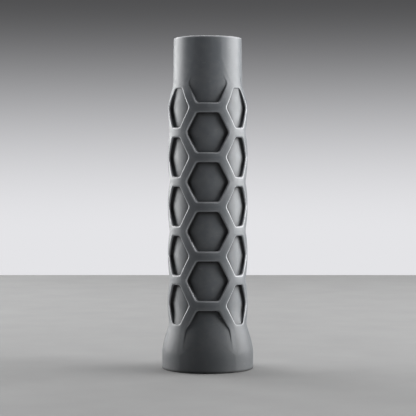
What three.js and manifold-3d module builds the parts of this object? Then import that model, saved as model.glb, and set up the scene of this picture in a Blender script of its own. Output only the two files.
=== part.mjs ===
// A tall rock tumbler barrel: a steel drum tube in a moulded rubber jacket with a raised honeycomb of ribs,
// a bolted base, a rubber liner with a six-sided bore, and an expanding plug lid sunk in the mouth.
// Millimetres, +Z up. The origin is the centre of the face that the barrel stands on.
import * as THREE from "three";
import { mergeVertices } from "three/addons/utils/BufferGeometryUtils.js";
import Module from "manifold-3d";

const wasm = await Module();
wasm.setup();

// ---- Driving dimensions ----
const height = 300; // from the standing face to the rim
const fit = 0.3; // clearance between pieces that touch or slide
const turn_steps = 32; // facets round a turned piece

// drum tube
const tube_radius = 27.7;
const tube_wall = 1.5;

// jacket, from the tube outwards
const collar_wall = 3.3; // rubber over the tube at the plain collar
const collar_taper = 0.6; // how much slimmer the rim is than the foot of the collar
const floor_step = 0.9; // the pocket floors stand this much proud of the collar
const rib_height = 4.0; // ribs above the pocket floors
const foot_flare = 5.3; // foot radius over rib radius
const floor_runs_on = 11; // the pocket floors start to flare this far above the ribs
const rim_round = 1.8; // rounding of the rim's outer edge
const lip_height = 6.0; // rubber turned in over the tube's upper end
const lip_reach = 2.8; // how far that lip reaches in past the jacket's bore
const jacket_steps = 36; // facets round the jacket

// heights of the jacket's bands
const foot_band = 13; // straight band at the foot
const flare_height = 33; // from the straight band up to the ribs
const shoulder_height = 31; // from the ribs up to the collar
const collar_height = 34; // plain collar below the rim

// honeycomb: pockets of six sides, in columns whose rows alternate by half a pitch
const row_pitch = 44.1;
const rib_width = 8.8; // the level ribs between a column's pockets
const honeycomb_lift = 8.4; // the middle row over the middle of the patterned band
// the columns from the front one round to the back one, in degrees: where a column stands,
// half the width of its pockets' level edges, half their full width, and whether it holds the middle row
const columns = [
  { azimuth: 0, edge: 16.2, half: 32.4, middle_row: false },
  { azimuth: 52.6, edge: 8.2, half: 24.4, middle_row: true },
  { azimuth: 96, edge: 6.8, half: 23, middle_row: false },
  { azimuth: 138, edge: 6.8, half: 23, middle_row: true },
  { azimuth: 180, edge: 6.8, half: 23, middle_row: false },
];

// base
const pad_recess = 1.0; // the foot pad sits this far up from the standing face
const pad_thickness = 5.7;
const foot_wall = 6.0; // rubber round the base
const flange_thickness = 8;
const spigot_height = 10;
const spigot_inset = 0.6; // spigot radius under the tube's bore
const gasket_thickness = 1.6;
const ring_height = 8; // end ring round the tube's lower end
const screw_count = 6;
const screw_radius = 1.6;
const screw_head_radius = 2.8;
const screw_head_height = 1.2;
const screw_length = 14.5;
const screw_clearance = 0.35;
const socket_radius = 1.2;
const socket_depth = 1.0;

// liner
const liner_floor_thickness = 4.4;
const liner_flats = 41; // across the flats of its six-sided bore

// mouth ring
const mouth_radius = 23.0; // the bore that the lid's seal grips
const seat_radius = 24.8; // the wider bore above the seat
const seat_drop = 19.5; // from the rim down to the seat
const mouth_depth = 18.2; // length of the narrow bore

// lid plug
const cap_thickness = 2.2;
const cap_rim_wall = 1.0;
const seal_height = 11.4;
const seal_waist = 0.6; // how much slimmer the seal's ends are than its middle
const plate_thickness = 2.8;
const plate_inset = 1.6; // pressure plate radius under the mouth's bore
const bolt_radius = 3.9;
const bolt_square = 2 * bolt_radius; // square neck that keeps the bolt from turning
const bolt_head_radius = 9.5;
const bolt_head_height = 3.6;
const bolt_seal_thickness = 1.2;
const bolt_end_drop = 2; // the bolt ends this far below the rim
const washer_radius = 9;
const washer_thickness = 1.6;
const nut_radius = 10.5;
const nut_height = 10;
const nut_flutes = 8;
const flute_radius = 3;

// bail handle and its lugs
const wire_radius = 1.1;
const bail_half = 19; // half the bail's width
const bail_leg = 4.2; // straight leg between the pivot's line and the bow
const bail_bend = 1.8; // bend radius where each leg turns into its pivot end
const lug_gap = 31.4; // between the lugs' upright faces
const lug_sheet = 1.6;
const lug_length = 8;
const lug_height = 7.6;
const lug_foot = 6.3;
const pivot_height = 5; // pivot line over the cap
const rivet_radius = 0.8;
const rivet_head_radius = 1.5;
const rivet_head_height = 0.8;
const rivet_spread = 2.4; // each rivet from the middle of its lug
const rivet_inset = 2.2; // each rivet from the foot's inner end

// ---- Sizes that follow ----
const tube_bore = tube_radius - tube_wall;
const jacket_bore = tube_radius + fit;
const collar_radius = jacket_bore + collar_wall;
const floor_radius = collar_radius + floor_step;
const rib_radius = floor_radius + rib_height;
const foot_radius = rib_radius + foot_flare;
const ribs_bottom = foot_band + flare_height;
const ribs_top = height - collar_height - shoulder_height;
const base_radius = foot_radius - foot_wall; // hollow under the jacket's foot
const flange_bottom = pad_recess + pad_thickness + fit;
const flange_top = flange_bottom + flange_thickness;
const spigot_radius = tube_bore - spigot_inset;
const tube_bottom = flange_top + gasket_thickness + 2 * fit;
const tube_top = height - lip_height - fit;
const ring_bottom = flange_top + fit;
const screw_circle = (tube_radius + base_radius) / 2;
const inner_radius = tube_bore - fit; // what slips into the tube
const liner_floor_bottom = flange_top + spigot_height + fit;
const liner_bottom = liner_floor_bottom + liner_floor_thickness + fit;
const seat_height = height - seat_drop;
const mouth_bottom = seat_height - mouth_depth;
const liner_top = mouth_bottom - fit;
const cap_bottom = seat_height + fit;
const cap_top = cap_bottom + cap_thickness;
const cap_radius = seat_radius - fit - 0.1;
const seal_radius = mouth_radius - fit;
const seal_bottom = cap_bottom - fit - seal_height;
const plate_bottom = seal_bottom - fit - plate_thickness;
const bolt_seal_bottom = plate_bottom - fit - bolt_seal_thickness;
const bolt_head_top = bolt_seal_bottom - fit;
const bolt_hole = bolt_radius + 0.6;
const neck_corner = bolt_square / Math.SQRT2;
const pivot_z = cap_top + pivot_height;
const cap_rim_height = pivot_height - wire_radius - fit; // the folded bail rests on the cap's rim

// ---- Materials ----
const finish = (color, roughness, metalness) =>
  new THREE.MeshStandardMaterial({ color, roughness, metalness });
const grey_rubber = finish(0x585b60, 0.75, 0);
const black_rubber = finish(0x1d1e20, 0.85, 0);
const steel = finish(0xb4b7ba, 0.35, 1);
const cast_aluminium = finish(0x9fa3a6, 0.55, 1);
const bright_wire = finish(0xd5d7d9, 0.2, 1);
const brass = finish(0xb39a5b, 0.35, 1);

// ---- Shared making ----
const radians = THREE.MathUtils.degToRad;
const smooth = THREE.MathUtils.smoothstep;

// A closed outline of [radius, height] points, turned about +Z.
function turned(outline, steps = turn_steps) {
  const loop = outline.map(([r, z]) => new THREE.Vector2(r, z));
  if (THREE.ShapeUtils.area(loop) < 0) loop.reverse();
  loop.push(loop[0].clone());
  return new THREE.LatheGeometry(loop, steps).rotateX(Math.PI / 2);
}

// A plain ring or, where inner is 0, a plain disc.
function ring(inner, outer, depth, steps = turn_steps) {
  return turned([[inner, 0], [outer, 0], [outer, depth], [inner, depth]], steps);
}

function solid_of(geometry) {
  const bare = new THREE.BufferGeometry();
  const flat = geometry.index ? geometry.toNonIndexed() : geometry;
  bare.setAttribute("position", flat.getAttribute("position"));
  const merged = mergeVertices(bare, 1e-4);
  return new wasm.Manifold(
    new wasm.Mesh({
      numProp: 3,
      vertProperties: merged.attributes.position.array,
      triVerts: new Uint32Array(merged.index.array),
    }),
  );
}

function geometry_of(solid) {
  const mesh = solid.getMesh();
  const geometry = new THREE.BufferGeometry();
  geometry.setAttribute("position", new THREE.BufferAttribute(mesh.vertProperties, 3));
  geometry.setIndex(new THREE.BufferAttribute(mesh.triVerts, 1));
  geometry.computeVertexNormals();
  return geometry;
}

const subtract_all = (solid, tools) => tools.reduce((left, tool) => left.subtract(solid_of(tool)), solid);

const cut = (geometry, tools) => geometry_of(subtract_all(solid_of(geometry), tools));

// A round bar along +Z from z = 0, for cutting holes and for shanks.
const bar = (radius, length, steps = 16) => ring(0, radius, length, steps);

// Evenly spaced values, both ends included.
const between = (from, to, count) =>
  Array.from({ length: count + 1 }, (_, i) => from + ((to - from) * i) / count);

// Evenly spaced angles round the axis.
const around = (count) => Array.from({ length: count }, (_, i) => (i * 2 * Math.PI) / count);

const barrel = new THREE.Group();

function add(name, geometry, material, x = 0, y = 0, z = 0, parent = barrel) {
  const mesh = new THREE.Mesh(geometry, material);
  mesh.name = name;
  mesh.position.set(x, y, z);
  parent.add(mesh);
  return mesh;
}

// ---- Outer jacket: one rubber moulding with collar, honeycomb and flared foot ----

// Radius of the ribs' outer faces, which run into the collar above and the foot below.
function rib_surface(z) {
  if (z < ribs_bottom) return foot_radius - foot_flare * smooth(z, foot_band, ribs_bottom);
  const shoulder = smooth(z, ribs_top, ribs_top + shoulder_height);
  const along_collar = Math.max(0, z - (height - collar_height)) / collar_height;
  return rib_radius - (rib_radius - collar_radius) * shoulder - collar_taper * along_collar;
}

// Radius of the pocket floors, which rise to the ribs' faces at both ends, so that the last pockets fade out.
function floor_surface(z) {
  const foot = 1 - smooth(z, foot_band, ribs_bottom + floor_runs_on);
  const shoulder = smooth(z, ribs_top + rib_height, height - collar_height);
  const floor = floor_radius + (foot_radius - floor_radius) * foot - floor_step * shoulder;
  return Math.min(floor, rib_surface(z) - 0.05);
}

// A cutter with an outline of [degrees, height] points, whose sides run along the radius.
function radial_cutter(outline, azimuth, middle) {
  const near = floor_radius - 1;
  const far = foot_radius * 1.1;
  const at = ([angle, z], radius) => {
    const turn = radians(azimuth + angle) - Math.PI / 2;
    return [radius * Math.cos(turn), radius * Math.sin(turn), middle + z];
  };
  const positions = outline.flatMap((point, i) => {
    const next = outline[(i + 1) % outline.length];
    const wall = (inside, outside) => [
      ...[at(point, outside), at(next, inside), at(point, inside)],
      ...[at(point, outside), at(next, outside), at(next, inside)],
    ];
    return [
      ...wall(near, rib_radius),
      ...wall(rib_radius, far),
      ...[at([0, 0], far), at(next, far), at(point, far)],
      ...[at([0, 0], near), at(point, near), at(next, near)],
    ].flat();
  });
  const geometry = new THREE.BufferGeometry();
  geometry.setAttribute("position", new THREE.Float32BufferAttribute(positions, 3));
  return geometry;
}

// A pocket has six sides. The lowest ones have no level edge below: their sides run down into the foot.
function pocket_cutter({ azimuth, edge, half }, middle) {
  const rise = (row_pitch - rib_width) / 2;
  const right = [0, 0.5, 1].map((share) => [edge + (half - edge) * share, rise * (1 - share)]);
  const below = right.slice(0, 2).reverse().map(([angle, z]) => [angle, -z]);
  right.push(...(middle < ribs_bottom ? [[half, -rise], [half / 2, -rise]] : below));
  const left = right.map(([angle, z]) => [-angle, z]).reverse();
  return radial_cutter([...right, ...left], azimuth, middle);
}

// The cutters of one column, on both sides of the jacket where the column isn't at the front or the back.
function column_cutters(column) {
  const middle = (foot_band + height - collar_height) / 2 + honeycomb_lift;
  const first = middle - (column.middle_row ? 0 : row_pitch / 2);
  const rows = between(-10, 10, 20).map((row) => first + row * row_pitch);
  const inside = rows.filter((z) => z > foot_band + rib_height && z < height - collar_height);
  const paired = column.azimuth % 180 !== 0;
  const places = paired ? [column.azimuth, -column.azimuth] : [column.azimuth];
  return places.flatMap((azimuth) => inside.map((z) => pocket_cutter({ ...column, azimuth }, z)));
}

// The moulding's full outer form, before the pockets are sunk into it.
function outer_form() {
  const rim_start = height - rim_round;
  const foot_edge = rim_round / 2;
  const side = [
    ...between(foot_band, ribs_bottom, 6),
    ...between(ribs_top, ribs_top + shoulder_height, 6),
    rim_start,
  ];
  const rim = between(0, Math.PI / 2, 3).slice(1).map((turn) => [
    rib_surface(rim_start) - rim_round * (1 - Math.cos(turn)),
    rim_start + rim_round * Math.sin(turn),
  ]);
  const foot = [[0, 0], [foot_radius - foot_edge, 0], [foot_radius, foot_edge]];
  return turned([...foot, ...side.map((z) => [rib_surface(z), z]), ...rim, [0, height]], jacket_steps);
}

// What stays solid behind the pockets, up to their floors.
function pocket_floors() {
  const heights = [
    ...between(foot_band, ribs_bottom + floor_runs_on, 7),
    ...between(ribs_top + rib_height, height - collar_height, 4),
    height - rim_round,
  ];
  const side = heights.map((z) => [floor_surface(z), z]);
  return turned([[0, heights[0]], ...side, [0, heights.at(-1)]], jacket_steps);
}

// The bore for the tube, the wider hollow under the foot, and the opening through the lip.
function jacket_hollow() {
  const opening = jacket_bore - lip_reach;
  const step = ring_bottom + ring_height + fit;
  return turned(
    [
      [0, -1],
      [base_radius, -1],
      [base_radius, step],
      [jacket_bore, step],
      [jacket_bore, height - lip_height],
      [opening, height - lip_height],
      [opening, height - rim_round / 2],
      [opening + rim_round / 2, height],
      [opening + rim_round / 2, height + 1],
      [0, height + 1],
    ],
    jacket_steps,
  );
}

function outer_jacket() {
  const ribs = subtract_all(solid_of(outer_form()), columns.flatMap(column_cutters));
  return geometry_of(ribs.add(solid_of(pocket_floors())).subtract(solid_of(jacket_hollow())));
}

add("outer_jacket", outer_jacket(), grey_rubber);

// ---- Drum: tube, base and its fasteners ----
add("drum_tube", ring(tube_bore, tube_radius, tube_top - tube_bottom), steel, 0, 0, tube_bottom);

const screw_turns = around(screw_count);
const on_screw_circle = (turn) => [screw_circle * Math.cos(turn), screw_circle * Math.sin(turn)];

function base_flange() {
  const body = turned([
    [0, 0],
    [base_radius - fit, 0],
    [base_radius - fit, flange_thickness],
    [spigot_radius, flange_thickness],
    [spigot_radius, flange_thickness + spigot_height - 1],
    [spigot_radius - 1, flange_thickness + spigot_height],
    [0, flange_thickness + spigot_height],
  ]);
  const hole = turned(
    [
      [0, -1],
      [screw_head_radius + fit + 1, -1],
      [screw_radius + screw_clearance, screw_head_height + fit],
      [screw_radius + screw_clearance, flange_thickness + 1],
      [0, flange_thickness + 1],
    ],
    16,
  );
  return cut(body, screw_turns.map((turn) => hole.clone().translate(...on_screw_circle(turn), 0)));
}

function end_ring() {
  const body = ring(tube_radius + fit, base_radius - fit, ring_height);
  const hole = bar(screw_radius + screw_clearance, ring_height + 2);
  return cut(body, screw_turns.map((turn) => hole.clone().translate(...on_screw_circle(turn), -1)));
}

function countersunk_screw() {
  const body = turned(
    [
      [0, 0],
      [screw_head_radius, 0],
      [screw_radius, screw_head_height],
      [screw_radius, screw_length - 0.8],
      [screw_radius - 0.8, screw_length],
      [0, screw_length],
    ],
    16,
  );
  return cut(body, [ring(0, socket_radius, socket_depth + 1, 6).translate(0, 0, -1)]);
}

add("base_flange", base_flange(), cast_aluminium, 0, 0, flange_bottom);
add("end_ring", end_ring(), steel, 0, 0, ring_bottom);
const gasket = ring(spigot_radius + fit, tube_radius, gasket_thickness);
add("base_gasket", gasket, black_rubber, 0, 0, flange_top + fit);
screw_turns.forEach((turn, i) => {
  add(`base_screw_${i + 1}`, countersunk_screw(), steel, ...on_screw_circle(turn), flange_bottom + fit);
});

// The pad that closes the foot, with two round grooves in its sole.
function foot_pad() {
  const groove = 1.2;
  const edge = base_radius - fit;
  const sole = [0.35, 0.7].flatMap((share) => [
    [edge * share, 0],
    [edge * share + groove / 2, groove],
    [edge * share + 2 * groove, groove],
    [edge * share + 2.5 * groove, 0],
  ]);
  return turned([[0, 0], ...sole, [edge - 1, 0], [edge, 1], [edge, pad_thickness], [0, pad_thickness]]);
}

add("foot_pad", foot_pad(), black_rubber, 0, 0, pad_recess);

// ---- Liner: a rubber sleeve with a six-sided bore, standing on a rubber floor ----
function liner_sleeve() {
  const length = liner_top - liner_bottom;
  const corner = liner_flats / Math.sqrt(3);
  const bore = ring(0, corner, length + 2, 6).rotateZ(Math.PI / 6).translate(0, 0, -1);
  return cut(ring(0, inner_radius, length), [bore]);
}

add("liner_sleeve", liner_sleeve(), black_rubber, 0, 0, liner_bottom);
add("liner_floor", ring(0, inner_radius, liner_floor_thickness), black_rubber, 0, 0, liner_floor_bottom);

// ---- Mouth ring: the bore that the seal grips, and the seat above it that stops the lid ----
const mouth_ring = turned([
  [mouth_radius, 0],
  [inner_radius, 0],
  [inner_radius, tube_top - mouth_bottom],
  [seat_radius, tube_top - mouth_bottom],
  [seat_radius, mouth_depth],
  [mouth_radius, mouth_depth],
]);
add("mouth_ring", mouth_ring, cast_aluminium, 0, 0, mouth_bottom);

// ---- Lid plug ----
const lid = new THREE.Group();
barrel.add(lid);

const sides = [-1, 1];
const lug_inner = lug_gap / 2 - lug_foot + lug_sheet;
const rivet_places = sides.flatMap((side) =>
  sides.map((end) => [side * (lug_inner + rivet_inset), end * rivet_spread]),
);

function lid_cap() {
  const dish = turned([
    [0, 0],
    [cap_radius - 0.6, 0],
    [cap_radius, 0.6],
    [cap_radius, cap_thickness + cap_rim_height],
    [cap_radius - cap_rim_wall, cap_thickness + cap_rim_height],
    [cap_radius - cap_rim_wall, cap_thickness],
    [0, cap_thickness],
  ]);
  const rivet_hole = bar(rivet_radius + fit, cap_thickness + 2, 12);
  const holes = rivet_places.map(([x, y]) => rivet_hole.clone().translate(x, y, -1));
  return cut(dish, [bar(bolt_hole, cap_thickness + 2, 24).translate(0, 0, -1), ...holes]);
}

const seal_ring = turned([
  [bolt_hole, 0],
  [seal_radius - seal_waist, 0],
  [seal_radius - seal_waist / 4, seal_height / 4],
  [seal_radius, seal_height / 2],
  [seal_radius - seal_waist / 4, (seal_height * 3) / 4],
  [seal_radius - seal_waist, seal_height],
  [bolt_hole, seal_height],
]);

add("lid_cap", lid_cap(), steel, 0, 0, cap_bottom, lid);
add("lid_seal", seal_ring, black_rubber, 0, 0, seal_bottom, lid);

// The clamp below the seal, which rises as the nut is tightened.
function pressure_plate() {
  const radius = mouth_radius - plate_inset;
  const plate = turned([
    [0, 0],
    [radius - 1, 0],
    [radius, 1],
    [radius, plate_thickness],
    [0, plate_thickness],
  ]);
  const side = bolt_square + 2 * fit;
  return cut(plate, [new THREE.BoxGeometry(side, side, 3 * plate_thickness)]);
}

function clamp_bolt() {
  const neck_top = plate_bottom + plate_thickness - bolt_head_top;
  const length = height - bolt_end_drop - bolt_head_top;
  const head = turned([
    [0, -bolt_head_height],
    [bolt_head_radius * 0.55, -bolt_head_height],
    [bolt_head_radius * 0.85, -bolt_head_height * 0.7],
    [bolt_head_radius, -bolt_head_height * 0.3],
    [bolt_head_radius, 0],
    [0, 0],
  ]);
  const neck = new THREE.BoxGeometry(bolt_square, bolt_square, neck_top + 0.5);
  neck.translate(0, 0, (neck_top - 0.5) / 2);
  const shank = turned(
    [
      [0, 0],
      [bolt_radius, 0],
      [bolt_radius, length - 0.8],
      [bolt_radius - 0.8, length],
      [0, length],
    ],
    24,
  );
  return geometry_of(solid_of(head).add(solid_of(neck)).add(solid_of(shank)));
}

add("pressure_plate", pressure_plate(), steel, 0, 0, plate_bottom, lid);
const bolt_seal = ring(neck_corner + fit, bolt_head_radius, bolt_seal_thickness);
add("bolt_seal", bolt_seal, black_rubber, 0, 0, bolt_seal_bottom, lid);
add("clamp_bolt", clamp_bolt(), steel, 0, 0, bolt_head_top, lid);

// The washer and fluted nut above the cap.
function thumb_nut() {
  const body = turned([
    [bolt_radius + fit, 0],
    [nut_radius * 0.75, 0],
    [nut_radius * 0.75, nut_height * 0.15],
    [nut_radius, nut_height * 0.25],
    [nut_radius, nut_height - 1],
    [nut_radius - 1, nut_height],
    [bolt_radius + fit, nut_height],
  ]);
  const flute = bar(flute_radius, nut_height + 2);
  const reach = nut_radius + flute_radius * 0.6;
  return cut(
    body,
    around(nut_flutes).map((turn) =>
      flute.clone().translate(reach * Math.cos(turn), reach * Math.sin(turn), -1),
    ),
  );
}

const washer_z = cap_top + fit;
add("thrust_washer", ring(bolt_hole, washer_radius, washer_thickness), steel, 0, 0, washer_z, lid);
add("thumb_nut", thumb_nut(), brass, 0, 0, washer_z + washer_thickness + fit, lid);

// A bent bracket: a foot riveted to the cap and an upright with the bail's pivot hole.
function bail_lug(side) {
  const inner = lug_inner;
  const outer = lug_gap / 2 + lug_sheet;
  const section = new THREE.Shape([
    new THREE.Vector2(inner, 0),
    new THREE.Vector2(outer, 0),
    new THREE.Vector2(outer, lug_height),
    new THREE.Vector2(outer - lug_sheet, lug_height),
    new THREE.Vector2(outer - lug_sheet, lug_sheet),
    new THREE.Vector2(inner, lug_sheet),
  ]);
  const sheet = new THREE.ExtrudeGeometry(section, { depth: lug_length, bevelEnabled: false });
  sheet.translate(0, 0, -lug_length / 2).rotateX(Math.PI / 2);
  const pivot_hole = bar(wire_radius + fit, lug_gap, 12).rotateY(Math.PI / 2);
  pivot_hole.translate(0, 0, pivot_height - fit);
  const rivet_hole = bar(rivet_radius + fit, 3 * lug_sheet, 12);
  const rivet_holes = sides.map((end) =>
    rivet_hole.clone().translate(inner + rivet_inset, end * rivet_spread, -lug_sheet),
  );
  return cut(sheet, [pivot_hole, ...rivet_holes]).rotateZ(side > 0 ? 0 : Math.PI);
}

const rivet_head_z = lug_sheet + 2 * fit;
const rivet = turned(
  [
    [0, -cap_thickness],
    [rivet_radius, -cap_thickness],
    [rivet_radius, rivet_head_z],
    [rivet_head_radius, rivet_head_z],
    [rivet_head_radius * 0.8, rivet_head_z + rivet_head_height],
    [0, rivet_head_z + rivet_head_height],
  ],
  12,
);

// The bail: one wire that hooks in through both lugs and bows round the nut.
function bail_handle() {
  const pivot_end = lug_gap / 2 - lug_sheet;
  const bend = bail_half - bail_bend;
  const point = (x, y) => new THREE.Vector3(x, y, 0);
  const wire = new THREE.CurvePath();
  wire.add(new THREE.LineCurve3(point(pivot_end, 0), point(bend, 0)));
  wire.add(
    new THREE.QuadraticBezierCurve3(point(bend, 0), point(bail_half, 0), point(bail_half, -bail_bend)),
  );
  wire.add(new THREE.LineCurve3(point(bail_half, -bail_bend), point(bail_half, -bail_leg)));
  const bow = 8;
  between(0, Math.PI, bow).slice(1).reduce((from, turn) => {
    const to = point(bail_half * Math.cos(turn), -bail_leg - bail_half * Math.sin(turn));
    const middle = turn - Math.PI / bow / 2;
    const stretch = bail_half / Math.cos(Math.PI / bow / 2);
    const pull = point(stretch * Math.cos(middle), -bail_leg - stretch * Math.sin(middle));
    wire.add(new THREE.QuadraticBezierCurve3(from, pull, to));
    return to;
  }, point(bail_half, -bail_leg));
  wire.add(new THREE.LineCurve3(point(-bail_half, -bail_leg), point(-bail_half, -bail_bend)));
  wire.add(
    new THREE.QuadraticBezierCurve3(point(-bail_half, -bail_bend), point(-bail_half, 0), point(-bend, 0)),
  );
  wire.add(new THREE.LineCurve3(point(-bend, 0), point(-pivot_end, 0)));
  const section = new THREE.Shape(around(10).map((turn) =>
    new THREE.Vector2(wire_radius * Math.cos(turn), wire_radius * Math.sin(turn))));
  return new THREE.ExtrudeGeometry(section, { steps: 64, extrudePath: wire });
}

sides.forEach((side) => {
  const name = side > 0 ? "right" : "left";
  add(`bail_lug_${name}`, bail_lug(side), steel, 0, 0, cap_top + fit, lid);
});
rivet_places.forEach(([x, y], i) => {
  add(`lug_rivet_${i + 1}`, rivet.clone(), steel, x, y, cap_top, lid);
});
add("bail_handle", bail_handle(), bright_wire, 0, 0, pivot_z, lid);

export default barrel;
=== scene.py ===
import math
import bmesh
import bpy
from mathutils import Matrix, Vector


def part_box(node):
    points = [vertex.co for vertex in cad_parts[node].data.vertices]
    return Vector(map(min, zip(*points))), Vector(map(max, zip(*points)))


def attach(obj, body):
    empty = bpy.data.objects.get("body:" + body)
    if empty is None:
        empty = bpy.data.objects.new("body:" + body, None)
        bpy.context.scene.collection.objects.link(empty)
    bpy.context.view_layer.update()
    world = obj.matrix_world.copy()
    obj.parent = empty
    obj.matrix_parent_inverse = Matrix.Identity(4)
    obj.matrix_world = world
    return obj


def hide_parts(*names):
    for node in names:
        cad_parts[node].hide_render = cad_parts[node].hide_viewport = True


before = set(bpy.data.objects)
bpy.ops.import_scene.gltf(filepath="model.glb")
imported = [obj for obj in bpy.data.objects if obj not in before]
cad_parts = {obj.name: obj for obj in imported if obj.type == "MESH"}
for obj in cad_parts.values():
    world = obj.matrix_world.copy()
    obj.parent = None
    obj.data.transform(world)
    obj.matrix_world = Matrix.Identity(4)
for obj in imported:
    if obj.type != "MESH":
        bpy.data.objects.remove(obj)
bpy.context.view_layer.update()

# ---- The camera ----
# A long lens at the height of the barrel's upper half, about 1.4 metres away, so that the barrel stands
# nearly square and its foot is seen slightly from above.
mm = 0.001
eye = Vector((0.3 * mm, -1391 * mm, 190.8 * mm))
look_down = math.radians(1.853)
camera = bpy.data.objects.new("camera", bpy.data.cameras.new("camera"))
camera.data.sensor_width = 36
camera.data.lens = 132.4
camera.data.clip_start = 0.01
camera.location = eye
camera.rotation_euler = (math.pi / 2 - look_down, 0, 0)
bpy.context.scene.collection.objects.link(camera)
bpy.context.scene.camera = camera

# ---- The outer jacket ----
# One thick moulding in grey rubber, stretched over the drum from above. Its ribs form a honeycomb that grips
# the tumbler's rollers, and it turns in over the drum at the mouth and flares to a foot that it stands on.
height = 300
collar_radius = 31.3
collar_taper = 0.6
floor_radius = 32.2
rib_radius = 36.2
foot_radius = 41.5
foot_band = 13
ribs_bottom = 46
floor_flare_top = 57
ribs_top = 235
collar_bottom = 266
floor_rise_start = 239
row_pitch = 44.1
rib_width = 8.8
middle_row = 147.9
rim_round = 1.8
foot_round = 0.9
edge_round = 1.6  # rounding along the ribs' edges
root_round = 0.8  # rounding where the pocket walls meet the floors
corner_round = 2.4  # rounding of the pockets' corners
corner_share = 0.3  # the most of a side that one rounded corner may take
corner_parts = 3  # faces along half of a corner's rounding
side_parts = 8  # faces along the straight middle of each side
weld = 0.004  # points closer together than this become one
# where each column stands, half its pockets' level edges and half their full width, all in degrees
right_columns = [(52.6, 8.2, 24.4), (96, 6.8, 23), (138, 6.8, 23)]
left_columns = [(360 - at, edge, half) for at, edge, half in reversed(right_columns)]
honeycomb = [(0, 16.2, 32.4), *right_columns, (180, 6.8, 23), *left_columns]


def eased(value, low, high):
    """0 below low, 1 above high, and smooth between."""
    share = min(1, max(0, (value - low) / (high - low)))
    return share * share * (3 - 2 * share)


def rib_surface(z):
    """The jacket's outer radius at one height: the foot, the ribs or the collar."""
    if z < ribs_bottom:
        return foot_radius - (foot_radius - rib_radius) * eased(z, foot_band, ribs_bottom)
    taper = collar_taper * max(0, z - collar_bottom) / (height - collar_bottom)
    return rib_radius - (rib_radius - collar_radius) * eased(z, ribs_top, collar_bottom) - taper


def pocket_depth(z):
    """How far the pockets' floors lie below the ribs at one height."""
    foot = (foot_radius - floor_radius) * (1 - eased(z, foot_band, floor_flare_top))
    shoulder = (floor_radius - collar_radius) * eased(z, floor_rise_start, collar_bottom)
    return max(0, rib_surface(z) - floor_radius - foot + shoulder)


def spaced(length, corner):
    """Distances along one side, closer together near its two corners."""
    near = [corner * part / corner_parts for part in range(corner_parts + 1)]
    middle = [corner + (length - 2 * corner) * part / side_parts for part in range(1, side_parts)]
    return near + middle + [length - step for step in near[:0:-1]]


def along(start, end):
    """Points along one straight side, without its last point."""
    length = (end - start).length
    steps = spaced(length, min(corner_round, corner_share * length))
    return [start.lerp(end, step / length) for step in steps]


def rounded_loop(corners):
    """As many points round an outline as along() gives, with its corners rounded."""
    count = len(corners)

    def bend(i, share):
        sides = [corners[(i + step) % count] - corners[i] for step in (-1, 1)]
        reach = min(corner_round, *(corner_share * side.length for side in sides))
        ends = [corners[i] + side.normalized() * reach for side in sides]
        return ends[0].lerp(corners[i], share).lerp(corners[i].lerp(ends[1], share), share)

    points = []
    for i in range(count):
        j = (i + 1) % count
        start, end = bend(i, 1), bend(j, 0)
        points += [bend(i, 0.5 + part / (2 * corner_parts)) for part in range(corner_parts)]
        points += [start.lerp(end, part / side_parts) for part in range(side_parts + 1)]
        points += [bend(j, part / (2 * corner_parts)) for part in range(1, corner_parts)]
    return points


def grown(corners, distance):
    """A convex outline, taken clockwise, with each side moved outwards."""
    count = len(corners)
    moved = []
    for i, corner in enumerate(corners):
        before = (corner - corners[i - 1]).normalized()
        after = (corners[(i + 1) % count] - corner).normalized()
        out = [Vector((-side.y, side.x)) for side in (before, after)]
        moved.append(corner + (out[0] + out[1]) * distance / (1 + out[0].dot(out[1])))
    return moved


def pocket_rings(border, opening):
    """Rings from a cell's border, over the rib's edge and down the wall to the pocket's floor.

    Each ring is its points on the unrolled jacket, how deep it lies as a share of the pocket's depth, and
    how much wear and painted highlight its edge gets and how much painted shade darkens it there.
    """
    full = rib_radius - floor_radius
    rings = []
    # over the rib's rounded edge: wear and painted highlight, then painted shade where the wall begins
    edge_turns = [(0, 0.1, 0), (22.5, 0.8, 0), (45, 1, 0), (67.5, 1, 0), (90, 0, 0.9)]
    for turn, wear_and_highlight, painted_shade in edge_turns:
        bend = math.radians(turn)
        outline = grown(opening, edge_round * (1 - math.sin(bend)))
        rings.append((outline, edge_round * (1 - math.cos(bend)) / full, wear_and_highlight, painted_shade))
    # down the wall's root to the floor: painted shade, near black
    for turn in (0, 30, 60, 90):
        bend = math.radians(turn)
        outline = grown(opening, -root_round * (1 - math.cos(bend)))
        rings.append((outline, 1 - root_round * (1 - math.sin(bend)) / full, 0, 1))
    loops = [([point for i in range(len(border)) for point in along(border[i - 1], border[i])], 0, 0, 0)]
    loops += [(rounded_loop(outline[-1:] + outline[:-1]), *rest) for outline, *rest in rings]
    floor = loops[-1][0]
    centre = sum(floor, Vector((0, 0))) / len(floor)
    # painted shade on the floor, darkest by the walls and fading towards the middle
    floor_shares = [(0.93, 0.75), (0.82, 0.4), (0.66, 0.15), (0.46, 0.03), (0.22, 0)]
    for share, painted_shade in floor_shares:
        loops.append(([centre.lerp(point, share) for point in floor], 1, 0, painted_shade))
    return loops, centre


note_labels = ("edge", "sunk", "painted_shade")


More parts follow.
